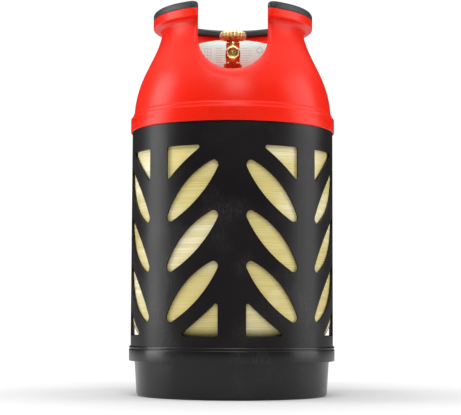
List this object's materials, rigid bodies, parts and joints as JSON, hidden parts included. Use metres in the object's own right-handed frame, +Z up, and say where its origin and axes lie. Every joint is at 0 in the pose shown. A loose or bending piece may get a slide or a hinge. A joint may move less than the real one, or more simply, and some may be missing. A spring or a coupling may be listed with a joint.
{
  "type": "composite gas cylinder",
  "caption": "Composite gas cylinder: wound vessel in a windowed black sleeve, stacking foot, red carrying collar with a front notch, and a handwheel valve.",
  "frame": {"origin": "centre of the foot's underside, on the cylinder's axis, at ground level", "axes": "+Z up along the cylinder's axis; -Y towards the front, where the collar's notch and the valve's outlet face; +X to the right seen from the front"},
  "size_m": [0.305, 0.305, 0.57],
  "materials": {
    "casing_plastic": "satin black moulded polyethylene",
    "collar_plastic": "satin red moulded polyethylene",
    "grip_rubber": "soft matt dark grey",
    "wound_fibre": "straw-coloured glass fibre in clear resin",
    "liner_plastic": "natural polyethylene",
    "neck_metal": "turned",
    "seal_rubber": "matt black",
    "label_paper": "ivory, matt",
    "valve_brass": "forged and turned",
    "spring_steel": "bright drawn wire",
    "cap_plastic": "matt dark plastic"
  },
  "bodies": {
    "cylinder": {"foot": "casing_plastic", "vessel_cradle": "casing_plastic", "windowed_sleeve": "casing_plastic", "carrying_collar": "collar_plastic", "rim_grip": "grip_rubber", "fibre_winding": "wound_fibre", "inner_liner": "liner_plastic", "neck_boss": "neck_metal", "boss_seal": "seal_rubber", "neck_seal": "seal_rubber", "information_label": "label_paper", "valve_body": "valve_brass", "packing_nut": "valve_brass", "spindle_o_rings": "seal_rubber", "relief_spring": "spring_steel", "relief_plug": "valve_brass", "relief_cap": "cap_plastic"},
    "handwheel_assembly": {"spindle": "valve_brass", "handwheel": "valve_brass", "handwheel_nut": "valve_brass"},
    "shut_off": {"seat_plug": "valve_brass", "seat_disc": "seal_rubber"},
    "relief_closure": {"relief_poppet": "valve_brass", "relief_seal": "seal_rubber"}
  },
  "joints": [
    {"name": "handwheel_turn", "type": "hinge", "parent": "cylinder", "child": "handwheel_assembly", "pos_m": [0, 0, 0.53968], "axis": [0, 0, 1], "range_deg": [0, 540]},
    {"name": "seat_plug_lift", "type": "slide", "parent": "cylinder", "child": "shut_off", "axis": [0, 0, 1], "range_m": [0, 0.003]},
    {"name": "relief_poppet_slide", "type": "slide", "parent": "cylinder", "child": "relief_closure", "axis": [0, 1, 0], "range_m": [0, 0.002], "stiffness_N_per_m": 8000, "springref_m": -0.006, "deforming": ["relief_spring"]}
  ],
  "couplings": [
    {"joint": "seat_plug_lift", "follows": "handwheel_turn", "m_per_rad": 0.000318}
  ]
}
